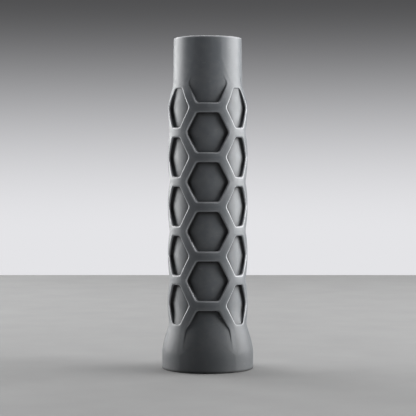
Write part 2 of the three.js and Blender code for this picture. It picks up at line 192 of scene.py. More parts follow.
class Shell:
    """Faces that are gathered up in millimetres and then joined into one mesh.

    The notes say for each point how much wear and painted highlight its edge gets, how deep it is sunk and
    how much painted shade darkens it, from 0 to 1.
    """

    def __init__(self):
        self.points, self.faces, self.notes = [], [], []

    def add(self, points, notes=None):
        """Takes in points and gives their numbers."""
        first = len(self.points)
        self.points += points
        self.notes += notes or [(0, 0, 0)] * len(points)
        return list(range(first, len(self.points)))

    def band(self, lower, upper, closed=True):
        """Four-sided faces between two rings or lines with as many points as each other."""
        for i in range(len(lower) if closed else len(lower) - 1):
            j = (i + 1) % len(lower)
            self.faces.append((lower[i], lower[j], upper[j], upper[i]))

    def fan(self, ring, centre):
        """Three-sided faces from a ring to one point."""
        for i, point in enumerate(ring):
            self.faces.append((point, ring[(i + 1) % len(ring)], centre))

    def piece(self, name, body, node, sharp=40):
        """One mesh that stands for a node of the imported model. Edges over sharp degrees stay sharp."""
        mesh = bpy.data.meshes.new(name)
        mesh.from_pydata([Vector(point) * mm for point in self.points], [], self.faces)
        if any(note != (0, 0, 0) for note in self.notes):
            for place, label in enumerate(note_labels):
                values = mesh.attributes.new(label, "FLOAT", "POINT").data
                values.foreach_set("value", [float(note[place]) for note in self.notes])
        work = bmesh.new()
        work.from_mesh(mesh)
        bmesh.ops.remove_doubles(work, verts=work.verts, dist=weld * mm)
        bmesh.ops.dissolve_degenerate(work, edges=work.edges, dist=weld / 2 * mm)
        bmesh.ops.recalc_face_normals(work, faces=work.faces)
        work.to_mesh(mesh)
        work.free()
        mesh.polygons.foreach_set("use_smooth", [True] * len(mesh.polygons))
        mesh.set_sharp_from_angle(angle=math.radians(sharp))
        made = bpy.data.objects.new(name, mesh)
        bpy.context.scene.collection.objects.link(made)
        made.modifiers.new("even_shading", "WEIGHTED_NORMAL").keep_sharp = True
        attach(made, body)
        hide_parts(node)
        return made


rise = (row_pitch - rib_width) / 2  # half a pocket's height


def deep_at(z):
    """1 where the pockets have their full depth, and 0 where they have run out."""
    return min(1, pocket_depth(z) / (rib_radius - floor_radius))


def shaded(above_middle):
    """Painted shade stays dark under the upper ledges and thins out towards the lower one."""
    return 0.3 + 0.7 * eased(above_middle, -rise, -0.3 * rise)


def lower_edge_highlight(above_middle):
    """Painted highlight: the lower edges, which face upwards, are painted paler than the upper ones."""
    return 1 - 0.6 * eased(above_middle, -0.2 * rise, rise)


def flat(azimuth, turn, z):
    """A point of the unrolled jacket, measured sideways from the middle of the column at azimuth."""
    return Vector((math.radians((turn - azimuth + 180) % 360 - 180) * rib_radius, z))


def on_jacket(azimuth, point, depth=0):
    """The same point on the real jacket, at a share of the pockets' depth."""
    turn = math.radians(azimuth) + point.x / rib_radius
    radius = rib_surface(point.y) - depth * pocket_depth(point.y)
    return (radius * math.sin(turn), -radius * math.cos(turn), point.y)


def add_pocket(shell, azimuth, z, border, opening):
    """One cell of the honeycomb, with the middle of its pocket at height z."""
    loops, centre = pocket_rings(border, opening)
    last = None
    for loop, depth, wear_and_highlight, painted_shade in loops:
        notes = []
        for point in loop:
            deep = deep_at(point.y)
            notes.append((wear_and_highlight * deep * lower_edge_highlight(point.y - z), depth, painted_shade * deep * shaded(point.y - z)))
        ring = shell.add([on_jacket(azimuth, point, depth) for point in loop], notes)
        if last:
            shell.band(last, ring)
        last = ring
    shell.fan(last, shell.add([on_jacket(azimuth, centre, 1)], [(0, 1, 0)])[0])


def add_plain(shell, azimuth, bottom, top):
    """A plain stretch between two level lines, each given by its two ends."""
    sides = [[*along(start, end), end] for start, end in zip(bottom, top)]
    lines = [[*along(start, end), end] for start, end in zip(*sides)]
    grid = [shell.add([on_jacket(azimuth, point) for point in line]) for line in lines]
    for lower, upper in zip(grid, grid[1:]):
        shell.band(lower, upper, closed=False)


jacket = Shell()
rib_end = math.degrees(rib_width / 2 * math.tan(math.radians(30)) / rib_radius)
top_turns, foot_turns = [], []
foot_edge = middle_row - 3 * row_pitch
collar_edge = middle_row + 3 * row_pitch
for i, (azimuth, edge, half) in enumerate(honeycomb):
    before, after = honeycomb[i - 1], honeycomb[(i + 1) % len(honeycomb)]
    level = [azimuth - edge - rib_end, azimuth + edge + rib_end]
    beside = [before[0] + before[1] + rib_end, after[0] - after[1] - rib_end]
    # every other column has a pocket at the middle row, and the columns between them stand half a row off
    holds_middle = i % 2 == 1
    rows = [middle_row + (place + (0 if holds_middle else 0.5)) * row_pitch for place in range(-3, 3)]
    if holds_middle:
        rows = rows[1:]
    wide, short = [math.radians(share) * rib_radius for share in (half, edge)]
    for z in rows:
        up, down = z + row_pitch / 2, z - row_pitch / 2
        lowest = not holds_middle and z == rows[0]
        low_left, low_right = beside if lowest else level
        border = [(level[1], up), (beside[1], z), (low_right, down)]
        border += [(low_left, down), (beside[0], z), (level[0], up)]
        low = wide if lowest else short
        opening = [(short, rise), (wide, 0), (low, -rise), (-low, -rise), (-wide, 0), (-short, rise)]
        add_pocket(
            jacket,
            azimuth,
            z,
            [flat(azimuth, *corner) for corner in border],
            [Vector(corner) + Vector((0, z)) for corner in opening],
        )
    if holds_middle:
        upper_stretch = ((level, rows[-1] + row_pitch / 2), (beside, collar_edge))
        lower_stretch = ((level, foot_edge), (level, rows[0] - row_pitch / 2))
        for stretch in (upper_stretch, lower_stretch):
            bottom, top = [[flat(azimuth, turn, z) for turn in turns] for turns, z in stretch]
            add_plain(jacket, azimuth, bottom, top)
    ends = [beside, level] if holds_middle else [level, beside]
    for turns, (start, end) in zip((top_turns, foot_turns), ends):
        points = along(flat(azimuth, start, 0), flat(azimuth, end, 0))
        turns += [azimuth + math.degrees(point.x / rib_radius) for point in points]


def jacket_ring(radius, z, share, wear_and_highlight=0.0, painted_shade=0.0):
    """One ring of the plain stretches, whose points pass from the collar's spacing to the foot's."""
    turns = [math.radians(a + (b - a) * share) for a, b in zip(top_turns, foot_turns)]
    points = [(radius * math.sin(turn), -radius * math.cos(turn), z) for turn in turns]
    return jacket.add(points, [(wear_and_highlight, 0, painted_shade)] * len(points))


def arc(centre, radius, start, end, steps=6):
    """Points on an arc in a section, as [radius, height]."""
    turns = [math.radians(start + (end - start) * step / steps) for step in range(steps + 1)]
    return [(centre[0] + radius * math.cos(turn), centre[1] + radius * math.sin(turn)) for turn in turns]


bore = 28.0
opening_radius = 25.2
lip_bottom = 294
lip_round = 0.9  # where the rim turns down into the opening
inner_round = 0.5  # under the lip, and round the mouth of the hollow base
base_hollow = 35.5
step_height = 23.6  # where the bore steps out to the hollow base
collar_parts, bore_parts, foot_parts = 8, 12, 6
rim_start = height - rim_round
collar_heights = [collar_edge + (rim_start - collar_edge) * k / collar_parts for k in range(collar_parts + 1)]
rings = [jacket_ring(rib_surface(z), z, 0) for z in collar_heights]
# the rim's rounded top edge is painted paler: wear and painted highlight
for radius, z in arc((rib_surface(rim_start) - rim_round, rim_start), rim_round, 0, 90)[1:]:
    rings.append(jacket_ring(radius, z, 0, wear_and_highlight=eased(z, rim_start, rim_start + 0.6 * rim_round)))
section = arc((opening_radius + lip_round, height - lip_round), lip_round, 90, 180)
section += arc((opening_radius + inner_round, lip_bottom + inner_round), inner_round, 180, 270, 3)
section.append((bore, lip_bottom))
rings += [jacket_ring(radius, z, 0) for radius, z in section]
for k in range(1, bore_parts + 1):
    rings.append(jacket_ring(bore, lip_bottom + (step_height - lip_bottom) * k / bore_parts, k / bore_parts))
section = [(base_hollow, step_height)]
section += arc((base_hollow + inner_round, inner_round), inner_round, 180, 270, 3)
rings += [jacket_ring(radius, z, 1) for radius, z in section]
# the foot's rounded lower edge carries a painted contact shadow, near black
for radius, z in arc((foot_radius - foot_round, foot_round), foot_round, -90, 0, 4):
    rings.append(jacket_ring(radius, z, 1, painted_shade=1))
half_shaded_height, unshaded_height = 1.5, 2.5  # heights over which the painted contact shadow at the foot's edge fades out
rings.append(jacket_ring(foot_radius, half_shaded_height, 1, painted_shade=0.5))
foot_heights = [unshaded_height + (foot_edge - unshaded_height) * k / foot_parts for k in range(foot_parts + 1)]
rings += [jacket_ring(rib_surface(z), z, 1) for z in foot_heights]
for lower, upper in zip(rings, rings[1:]):
    jacket.band(lower, upper)
outer_jacket = jacket.piece("moulded_jacket", "barrel", "outer_jacket", sharp=60)


class Wire:
    """What comes out of a shader node. Sums with it add the Math nodes that they need."""

    def __init__(self, maker, socket):
        self.maker, self.socket = maker, socket

    def maths(self, operation, *terms, clamp=False):
        settings = {"operation": operation, "use_clamp": clamp}
        return self.maker.node("ShaderNodeMath", 0, settings, dict(enumerate(terms)))

    def __add__(self, other):
        return self.maths("ADD", self, other)

    def __sub__(self, other):
        return self.maths("SUBTRACT", self, other)

    def __rsub__(self, other):
        return self.maths("SUBTRACT", other, self)

    def __mul__(self, other):
        return self.maths("MULTIPLY", self, other)

    def __pow__(self, other):
        return self.maths("POWER", self, other)

    __radd__ = __add__
    __rmul__ = __mul__

    def sine(self):
        return self.maths("SINE", self)

    def clamped(self):
        return self.maths("ADD", self, 0, clamp=True)


class NodeTree:
    """The nodes of one finish, or of the backdrop."""

    def __init__(self, tree):
        self.tree = tree

    def node(self, kind, output, settings=None, sockets=None):
        """Adds a node, with its settings first and its sockets after them, and gives one of its outputs."""
        made = self.tree.nodes.new(kind)
        for name, value in (settings or {}).items():
            setattr(made, name, value)
        for key, value in (sockets or {}).items():
            if isinstance(value, Wire):
                self.tree.links.new(value.socket, made.inputs[key])
            else:
                made.inputs[key].default_value = value
        return Wire(self, made.outputs[output])


class Finish(NodeTree):
    """One material round a Principled shader."""

    def __init__(self, name, **constants):
        self.material = bpy.data.materials.new(name)
        self.material.use_nodes = True
        super().__init__(self.material.node_tree)
        self.shader = self.tree.nodes["Principled BSDF"]
        for socket, value in constants.items():
            self.shader.inputs[socket.replace("_", " ")].default_value = value
        self.place = self.node("ShaderNodeTexCoord", "Object")

    def noise(self, size, detail=3, stretch=(1, 1, 1), roughness=0.5):
        """Noise whose features are about size millimetres across."""
        at = self.node("ShaderNodeVectorMath", 0, {"operation": "MULTIPLY"}, {0: self.place, 1: stretch})
        sockets = {"Vector": at, "Scale": 1 / (size * mm), "Detail": detail, "Roughness": roughness}
        return self.node("ShaderNodeTexNoise", 0, None, sockets)

    def part(self, name):
        """One coordinate in metres."""
        return self.node("ShaderNodeSeparateXYZ", name, None, {0: self.place})

    def band(self, value, low, high):
        """0 below low, 1 above high, and smooth between."""
        sockets = {"Value": value, "From Min": low, "From Max": high}
        return self.node("ShaderNodeMapRange", 0, {"interpolation_type": "SMOOTHSTEP"}, sockets)

    def blend(self, share, first, second):
        """One colour where share is 0, the other where it is 1, and a mix between."""
        first, second = [(*c, 1) if isinstance(c, tuple) else c for c in (first, second)]
        return self.node("ShaderNodeMix", 2, {"data_type": "RGBA"}, {0: share, 6: first, 7: second})

    def feed(self, **wires):
        """Links what varies over the surface to the shader's sockets."""
        for socket, wire in wires.items():
            self.tree.links.new(wire.socket, self.shader.inputs[socket.replace("_", " ")])

    def bump(self, height_wire, depth, strength=1.0, under=None):
        """A surface raised by up to depth millimetres."""
        sockets = {"Height": height_wire, "Distance": depth * mm, "Strength": strength}
        if under:
            sockets["Normal"] = under
        return self.node("ShaderNodeBump", 0, None, sockets)

    def on(self, *pieces):
        for piece in pieces:
            piece.data.materials.clear()
            piece.data.materials.append(self.material)


grey_rubber = Finish("grey_moulded_rubber", Specular_IOR_Level=0.5, Sheen_Weight=0.05, Sheen_Roughness=0.5)
noted = [grey_rubber.node("ShaderNodeAttribute", "Fac", {"attribute_name": label}) for label in note_labels]
wear_and_highlight_mask, sunk, painted_shade_mask = noted
clouds = grey_rubber.noise(28, 4)
blotches = grey_rubber.noise(6, 4)
speckle = grey_rubber.noise(0.8, 2)
grain = grey_rubber.noise(0.35, 3)
scuffs = grey_rubber.band(grey_rubber.noise(9, 6, (1, 1, 3.5), 0.65), 0.6, 0.74)
dust = grey_rubber.band(blotches + sunk * 0.12, 0.5, 0.75)
shade = (clouds * 0.6 + blotches * 0.4).clamped()
rubber_colour = grey_rubber.blend(shade, (0.098, 0.108, 0.118), (0.132, 0.144, 0.155))
rubber_colour = grey_rubber.blend(dust * 0.2, rubber_colour, (0.19, 0.19, 0.19))
# painted shade: near black in the pockets' corners, under their upper ledges and along the foot's lower edge
painted_shade_share = (painted_shade_mask * (0.8 + blotches * 0.4)).clamped()
rubber_colour = grey_rubber.blend(painted_shade_share, rubber_colour, (0.006, 0.006, 0.007))
# the edges are painted paler for wear and painted highlight, with random scuffs
wear_and_highlight_paling = (wear_and_highlight_mask * 0.8 + scuffs * 0.12) * (0.6 + speckle * 0.8)
rubber_colour = grey_rubber.blend(wear_and_highlight_paling.clamped(), rubber_colour, (0.45, 0.46, 0.48))
# painted shade: the rubber is painted darker towards the foot
foot_shade_height = 75
near_foot = 1 - grey_rubber.band(grey_rubber.part("Z"), 0.0, foot_shade_height * mm)
rubber_colour = grey_rubber.blend(near_foot * (0.3 + clouds * 0.3), rubber_colour, (0.020, 0.021, 0.022))
dulled = blotches * 0.1 + dust * 0.08 + painted_shade_mask * 0.15 + speckle * 0.04 + near_foot * 0.12
grey_rubber.feed(
    Base_Color=rubber_colour,
    Roughness=(0.34 + dulled - wear_and_highlight_mask * 0.16).clamped(),
    Normal=grey_rubber.bump(grain, 0.03, 0.5, grey_rubber.bump(blotches, 0.12, 0.35)),
)
grey_rubber.on(outer_jacket)

# ---- The drum tube, the base flange, the end ring and their gasket ----
# The drum is a drawn steel tube that the jacket hides. Its cast base carries a spigot that centres the tube,
# and the steel end ring clamps the flange up against a flat rubber gasket.
def carried(*nodes):
    """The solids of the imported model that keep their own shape."""
    return [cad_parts[node] for node in nodes]


drawn_steel = Finish("drawn_steel", Metallic=1.0, Specular_IOR_Level=0.5)
pulled = drawn_steel.noise(0.25, 3, (1, 1, 0.03))
smears = drawn_steel.noise(24, 4)
drawn_steel.feed(
    Base_Color=drawn_steel.blend(smears, (0.42, 0.43, 0.44), (0.52, 0.53, 0.54)),
    Roughness=(0.28 + pulled * 0.16 + smears * 0.08).clamped(),
    Normal=drawn_steel.bump(pulled, 0.01, 0.4),
)
drawn_steel.on(*carried("drum_tube", "end_ring"))

cast_metal = Finish("cast_aluminium", Metallic=1.0)
pores = cast_metal.noise(0.7, 4)
patches = cast_metal.noise(14, 3)
cast_metal.feed(
    Base_Color=cast_metal.blend(patches, (0.47, 0.48, 0.49), (0.57, 0.58, 0.59)),
    Roughness=(0.42 + pores * 0.2).clamped(),
    Normal=cast_metal.bump(pores, 0.06, 0.5),
)
cast_metal.on(*carried("base_flange"))

black_rubber = Finish("black_moulded_rubber", Specular_IOR_Level=0.4, Sheen_Weight=0.08, Sheen_Roughness=0.4)
skin = black_rubber.noise(0.4, 3)
bloom = black_rubber.noise(11, 5)
chalk = black_rubber.band(bloom, 0.52, 0.78)
black_rubber.feed(
    Base_Color=black_rubber.blend(chalk * 0.6, (0.018, 0.018, 0.020), (0.062, 0.062, 0.064)),
    Roughness=(0.5 + bloom * 0.18 + skin * 0.06).clamped(),
    Normal=black_rubber.bump(skin, 0.03, 0.5, black_rubber.bump(bloom, 0.08, 0.3)),
)
black_rubber.on(*carried("base_gasket"))

# ---- The six base screws ----
# Countersunk steel screws with a bright zinc finish go up through the flange into the end ring.
zinc_plate = Finish("zinc_plate", Metallic=1.0)
tint = zinc_plate.noise(3.5, 3)
fine = zinc_plate.noise(0.5, 3)
zinc_plate.feed(
    Base_Color=zinc_plate.blend(tint, (0.55, 0.56, 0.58), (0.64, 0.62, 0.55)),
    Roughness=(0.24 + tint * 0.14 + fine * 0.06).clamped(),
    Normal=zinc_plate.bump(fine, 0.01, 0.4),
)
zinc_plate.on(*carried(*[f"base_screw_{i}" for i in range(1, 7)]))

# ---- The foot pad ----
# A round black rubber pad pressed into the hollow foot. It covers the screws, and its sole has two round
# grooves, fine rings between them and a shallow dimple where it left the mould.
on_axis = 1e-6  # a smaller radius counts as none


def span(node):
    """A node's lowest and highest points and its half width along X, in millimetres."""
    low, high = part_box(node)
    return low[2] / mm, high[2] / mm, (high[0] - low[0]) / 2 / mm


def softened(outline, radius, steps=4):
    """A closed section with its corners rounded, apart from those on the axis."""
    most = 0.45  # of a side that one corner may take
    points = []
    for i, corner in enumerate(outline):
        at = Vector(corner)
        before, after = Vector(outline[i - 1]), Vector(outline[(i + 1) % len(outline)])
        reach = min(radius, most * (before - at).length, most * (after - at).length)
        if at.x < on_axis or reach < 1e-4:
            points.append(tuple(at))
            continue
        first = at + (before - at).normalized() * reach
        last = at + (after - at).normalized() * reach
        for step in range(steps + 1):
            share = step / steps
            points.append(tuple(first.lerp(at, share).lerp(at.lerp(last, share), share)))
    return points


def turned_shell(outline, steps=96):
    """A section of [radius, height] points swept round the axis. Points on the axis become one point."""
    shell = Shell()
    turns = [2 * math.pi * step / steps for step in range(steps)]
    rings = []
    for radius, z in outline:
        if radius < on_axis:
            rings.append(shell.add([(0, 0, z)]) * steps)
        else:
            rings.append(shell.add([(radius * math.sin(t), -radius * math.cos(t), z) for t in turns]))
    for lower, upper in zip(rings, rings[1:] + rings[:1]):
        if lower[0] == lower[1] and upper[0] == upper[1]:
            continue
        if lower[0] == lower[1]:
            shell.fan(upper, lower[0])
        elif upper[0] == upper[1]:
            shell.fan(lower, upper[0])
        else:
            shell.band(lower, upper)
    return shell


low, high, radius = span("foot_pad")
dimple_depth, dimple_floor, dimple_edge = 0.5, 2.2, 2.8
groove_depth, groove_width, groove_slope = 1.2, 3, 0.6
fine_ring, pad_chamfer, pad_rounding = 0.3, 1, 0.3
sole = [(0, low + dimple_depth), (dimple_floor, low + dimple_depth), (dimple_edge, low)]
for share in (0.35, 0.7):
    inner, outer = radius * share, radius * share + groove_width
    sole += [(inner, low), (inner + groove_slope, low + groove_depth)]
    sole += [(outer - groove_slope, low + groove_depth), (outer, low)]
for ring_at in (17.6, 19.4, 21.2):
    place = next(k for k, point in enumerate(sole) if point[0] > ring_at)
    sole[place:place] = [(ring_at - fine_ring, low), (ring_at, low + fine_ring), (ring_at + fine_ring, low)]
sole += [(radius - pad_chamfer, low), (radius, low + pad_chamfer), (radius, high), (0, high)]
pad = turned_shell(softened(sole, pad_rounding))
black_rubber.on(pad.piece("grooved_foot_pad", "barrel", "foot_pad"))

# ---- The liner ----
# A black rubber sleeve with a six-sided bore, which makes the stones tumble instead of slide, stands on a
# separate rubber floor. The corners of the bore are rounded.
low, high, radius = span("liner_sleeve")
flat_half = 20.5
corner_sharpness = 34
liner_steps = 144
outer_chamfer, bore_chamfer, bore_break = 0.6, 0.8, 0.24
bore_rows = 14


def many_sided(turn, half, sides, sharpness):
    """Distance from the axis to the side of a regular outline with rounded corners."""
    normals = [2 * math.pi * k / sides for k in range(sides)]
    total = sum(max(0, math.cos(turn - normal)) ** sharpness for normal in normals)
    return half / total ** (1 / sharpness)


def wrapped(shell, radius_at, z, steps):
    """One ring, whose radius is a number or a function of the turn."""
    turns = [2 * math.pi * step / steps for step in range(steps)]
    radii = [radius_at(t) if callable(radius_at) else radius_at for t in turns]
    return shell.add([(r * math.sin(t), -r * math.cos(t), z) for r, t in zip(radii, turns)])


def hexagon(inset):
    """The liner's bore, opened out by inset."""
    return lambda turn: many_sided(turn, flat_half + inset, 6, corner_sharpness)


liner = Shell()
rings = []
outside = [(outer_chamfer, low), (0, low + outer_chamfer), (0, high - outer_chamfer), (outer_chamfer, high)]
for inset, z in outside:
    rings.append(wrapped(liner, radius - inset, z, liner_steps))
bore_length = high - low - 2 * bore_chamfer
bore_heights = [high - bore_chamfer - bore_length * k / bore_rows for k in range(bore_rows + 1)]
bore_profile = [(bore_chamfer, high), (bore_break, high - bore_break), *[(0, z) for z in bore_heights]]
bore_profile += [(bore_break, low + bore_break), (bore_chamfer, low)]
for inset, z in bore_profile:
    rings.append(wrapped(liner, hexagon(inset), z, liner_steps))
for lower, upper in zip(rings, rings[1:] + rings[:1]):
    liner.band(lower, upper)
black_rubber.on(liner.piece("six_sided_liner", "barrel", "liner_sleeve"))

low, high, radius = span("liner_floor")
dish_radius, dish_depth, disc_rounding = 4.5, 0.5, 0.5
dish = [(dish_radius, high), (dish_radius - dish_depth, high - dish_depth), (0, high - dish_depth)]
floor_section = [(0, low), (radius, low), (radius, high), *dish]
disc = turned_shell(softened(floor_section, disc_rounding))
black_rubber.on(disc.piece("liner_floor_disc", "barrel", "liner_floor"))

# ---- The mouth ring ----
# An aluminium ring turned from bar closes the top of the drum. Its long bore is what the plug's seal grips,
# and the step above it is the seat that the lid's cap rests on. Fine turning marks run round it.
low, high, radius = span("mouth_ring")
mouth_bore, seat_bore, seat, turned_edge = 23.0, 24.8, 280.5, 0.4
turned_aluminium = Finish("turned_aluminium", Metallic=1.0)


def turning_marks(finish, pitch):
    """Fine grooves round the axis, as a lathe tool leaves them on faces and on round sides."""
    x, y, z = [finish.part(name) for name in "XYZ"]
    wave = ((x * x + y * y) ** 0.5 + z * 0.8) * (2 * math.pi / (pitch * mm))
    return wave.sine() * 0.5 + 0.5


marks = turning_marks(turned_aluminium, 0.28)
haze = turned_aluminium.noise(9, 4)
nicks = turned_aluminium.band(turned_aluminium.noise(2.5, 5, (1, 1, 1), 0.7), 0.64, 0.72)
turned_aluminium.feed(
    Base_Color=turned_aluminium.blend(haze, (0.55, 0.56, 0.58), (0.66, 0.67, 0.69)),
    Roughness=(0.24 + haze * 0.16 + nicks * 0.2).clamped(),
    Normal=turned_aluminium.bump(marks, 0.008, 0.5, turned_aluminium.bump(nicks, -0.03, 0.4)),
)
ring_section = [(mouth_bore, low), (radius, low), (radius, high)]
ring_section += [(seat_bore, high), (seat_bore, seat), (mouth_bore, seat)]
fine_steps = 128  # facets round the pieces at the mouth
ring = turned_shell(softened(ring_section, turned_edge), fine_steps)
turned_aluminium.on(ring.piece("turned_mouth_ring", "barrel", "mouth_ring"))

# ---- The lid's cap ----
# A shallow dish of spun stainless steel with an upright rim. A raised bead stiffens it, and the bail's lugs
# are riveted to it.
low, high, radius = span("lid_cap")
cap_top, bolt_hole, bolt_land, rim_sheet, edge_roll = low + 2.2, 4.5, 5.2, 1, 0.6
spun_steel = Finish("spun_steel", Metallic=1.0)
rings_of_spinning = turning_marks(spun_steel, 0.5)
dulling = spun_steel.noise(7, 5)
scratches = spun_steel.band(spun_steel.noise(1.2, 4, (0.12, 1.5, 1), 0.6), 0.62, 0.7)
spun_steel.feed(
    Base_Color=spun_steel.blend(dulling, (0.50, 0.50, 0.50), (0.62, 0.62, 0.61)),
    Roughness=(0.2 + dulling * 0.2 + scratches * 0.12).clamped(),
    Normal=spun_steel.bump(rings_of_spinning, 0.012, 0.5, spun_steel.bump(scratches, -0.01, 0.4)),
)
rim = arc((radius - rim_sheet / 2, high - rim_sheet / 2), rim_sheet / 2, 0, 180, 8)
section = [(bolt_hole, low), (radius - edge_roll, low), (radius, low + edge_roll), *rim]
section.append((radius - rim_sheet, cap_top + edge_roll))
fillet, fillet_middle = 0.8, radius - 1.9
section += arc((fillet_middle, cap_top + fillet), fillet, 0, -90, 5)
bead_top = cap_top + 0.45
section += [(20.6, cap_top), (20.2, bead_top), (19.4, bead_top), (19.0, cap_top)]
section += [(bolt_hole + bolt_land, cap_top), (bolt_hole, cap_top)]
pressed_edge = 0.3
cap = turned_shell(softened(section, pressed_edge), fine_steps)
spun_steel.on(cap.piece("spun_cap", "lid", "lid_cap"))

# ---- The expanding seal ----
# A thick black rubber ring between the cap and the pressure plate, moulded with three rounded beads that are
# squeezed out against the mouth's bore.
low, high, radius = span("lid_seal")
beads, bead_height, fullness, seal_parts = 3, 0.55, 0.7, 36
end_inset, valley_inset, barrelling = 1.4, 0.65, 0.5
section = [(bolt_hole, low), (radius - end_inset, low)]
for step in range(1, seal_parts):
    share = step / seal_parts
    bulge = bead_height * abs(math.sin(math.pi * beads * share)) ** fullness
    valley = radius - valley_inset - barrelling * (2 * share - 1) ** 2
    section.append((valley + bulge, low + (high - low) * share))
section += [(radius - end_inset, high), (bolt_hole, high)]
black_rubber.on(turned_shell(section, fine_steps).piece("beaded_seal", "lid", "lid_seal"))

# ---- The pressure plate and the seal under the bolt's head ----
# A stamped steel disc with a square hole that keeps the bolt from turning. A thin rubber washer under the
# head keeps water out.
low, high, radius = span("pressure_plate")
plate = Shell()
rings = []
for inset, z in [(1.3, low), (0.4, low + 0.35), (0.05, low + 1), (0, high - 0.25), (0.25, high)]:
    rings.append(wrapped(plate, radius - inset, z, fine_steps))
hole_half, head_seat = 4.2, 6.5
for z in (high, (low + high) / 2, low):
    rings.append(wrapped(plate, lambda t: many_sided(t, hole_half, 4, 60), z, fine_steps))
rings.append(wrapped(plate, lambda t: many_sided(t, hole_half, 4, 8) + head_seat, low, fine_steps))
for lower, upper in zip(rings, rings[1:] + rings[:1]):
    plate.band(lower, upper)
spun_steel.on(plate.piece("stamped_pressure_plate", "clamp", "pressure_plate"))

low, high, radius = span("bolt_seal")
seal_hole, seal_rounding = 5.9, 0.35
section = [(seal_hole, low), (radius, low), (radius, high), (seal_hole, high)]
washer_seal = turned_shell(softened(section, seal_rounding))
black_rubber.on(washer_seal.piece("bolt_washer_seal", "clamp", "bolt_seal"))

# ---- The clamp bolt ----
# A zinc-plated carriage bolt: a low domed head inside the barrel, a square neck that sits in the plate, and a
# rolled thread up through the nut.
low, high, radius = span("clamp_bolt")
head_top, head_dome, dome_parts = low + 3.6, 2.6, 8
neck_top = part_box("pressure_plate")[1][2] / mm
neck_half, neck_sharpness = 3.9, 40
thread_radius, thread_depth, thread_pitch = 3.88, 0.62, 1.25
bolt_steps, turns_per_pitch = 72, 10
bolt = Shell()


def neck(turn):
    """The square neck's outline."""
    return many_sided(turn, neck_half, 4, neck_sharpness)


def thread(z, fade):
    """The thread's outline at one height. It runs out where fade falls to 0."""
    crest_height, flank = 1.55, 1.9

    def radius_at(turn):
        place = (z / thread_pitch - turn / (2 * math.pi)) % 1
        crest = min(1, max(0, crest_height - abs(2 * place - 1) * flank))
        return thread_radius - thread_depth * (1 - crest * fade)

    return radius_at


rings = []
for step in range(1, dome_parts + 1):
    share = step / dome_parts
    z = low + head_dome * (1 - math.sqrt(1 - (0.97 * share) ** 2))
    rings.append(wrapped(bolt, radius * share, z, bolt_steps))
rings.append(wrapped(bolt, radius, head_top - 0.5, bolt_steps))
rings.append(wrapped(bolt, radius - 0.3, head_top, bolt_steps))
for z in (head_top, head_top + 1.5, neck_top - 0.6):
    rings.append(wrapped(bolt, neck, z, bolt_steps))
rings.append(wrapped(bolt, lambda t: min(thread_radius, neck(t)), neck_top, bolt_steps))
rings.append(wrapped(bolt, thread_radius - thread_depth, neck_top + 1.6, bolt_steps))
thread_start, thread_end = neck_top + 2.2, high - 1.0
rows = round((thread_end - thread_start) / thread_pitch * turns_per_pitch)
for row in range(rows + 1):
    z = thread_start + (thread_end - thread_start) * row / rows
    rings.append(wrapped(bolt, thread(z, min(1, row / turns_per_pitch)), z, bolt_steps))
for inset, z in [(0.62, high - 0.55), (1.1, high - 0.1), (1.4, high), (2.6, high)]:
    rings.append(wrapped(bolt, thread_radius - inset, z, bolt_steps))
for lower, upper in zip(rings, rings[1:]):
    bolt.band(lower, upper)
bolt.fan(rings[0], bolt.add([(0, 0, low)])[0])
bolt.fan(rings[-1], bolt.add([(0, 0, high)])[0])
zinc_plate.on(bolt.piece("carriage_bolt", "clamp", "clamp_bolt"))

# ---- The thrust washer and the thumb nut ----
# A plain zinc-plated washer takes the nut's thrust. The nut is turned from brass bar, with eight scallops for
# the fingers, fine knurling on the lobes between them and a turned collar below.
low, high, radius = span("thrust_washer")
section = [(bolt_hole, low), (radius, low), (radius, high), (bolt_hole, high)]
washer = turned_shell(softened(section, pressed_edge))
zinc_plate.on(washer.piece("zinc_washer", "lid", "thrust_washer"))

low, high, radius = span("thumb_nut")
scallops, scallop_radius, knurls, knurl_depth = 8, 3.0, 96, 0.16
nut_steps = 384
scallop_reach = radius + scallop_radius * 0.6
collar_half, bore_half, bore_countersink = radius * 0.75, 4.25, 0.9


def nut_side(inset, grip=0):
    """The lobes' outline, with the fingers' scallops and the knurling between them."""

    def radius_at(turn):
        # the scallops start a quarter turn round from the front, as the nut's flutes are spaced from +X
        spread = (turn - math.pi / 2 + math.pi / scallops) % (2 * math.pi / scallops) - math.pi / scallops
        lobe = radius - inset - grip * knurl_depth * abs(math.sin(turn * knurls / 2))
        across = scallop_reach * math.sin(abs(spread))
        if across >= scallop_radius:
            return lobe
        scallop = scallop_reach * math.cos(spread) - math.sqrt(scallop_radius**2 - across**2) - inset
        return min(lobe, scallop)

    return radius_at


nut = Shell()
collar = [(0.5, 0), (0, 0.35), (0, 1.3)]
rings = [wrapped(nut, collar_half - inset, low + z, nut_steps) for inset, z in collar]
above_collar = nut_side(1.0)
rings.append(wrapped(nut, lambda t: min(collar_half + 0.6, above_collar(t)), low + 1.7, nut_steps))
for inset, z, grip in [(0.7, 2.0, 0), (0.25, 2.4, 0), (0, 3.0, 1), (0, 5.0, 1), (0, 7.0, 1), (0, 8.6, 1)]:
    rings.append(wrapped(nut, nut_side(inset, grip), low + z, nut_steps))
for inset, drop in [(0.12, 0.9), (0.4, 0.5), (0.9, 0.15), (1.4, 0)]:
    rings.append(wrapped(nut, nut_side(inset), high - drop, nut_steps))
for half, drop in [(7.4, 0), (7.1, 0.35), (6.0, 0.35), (5.6, 0), (5.2, 0), (bore_half, bore_countersink)]:
    rings.append(wrapped(nut, half, high - drop, nut_steps))
rings.append(wrapped(nut, bore_half, low + bore_countersink, nut_steps))
rings.append(wrapped(nut, bore_half + bore_countersink, low, nut_steps))
for lower, upper in zip(rings, rings[1:] + rings[:1]):
    nut.band(lower, upper)
brass = Finish("turned_brass", Metallic=1.0)
brass_marks = turning_marks(brass, 0.22)
tarnish = brass.noise(6, 5)
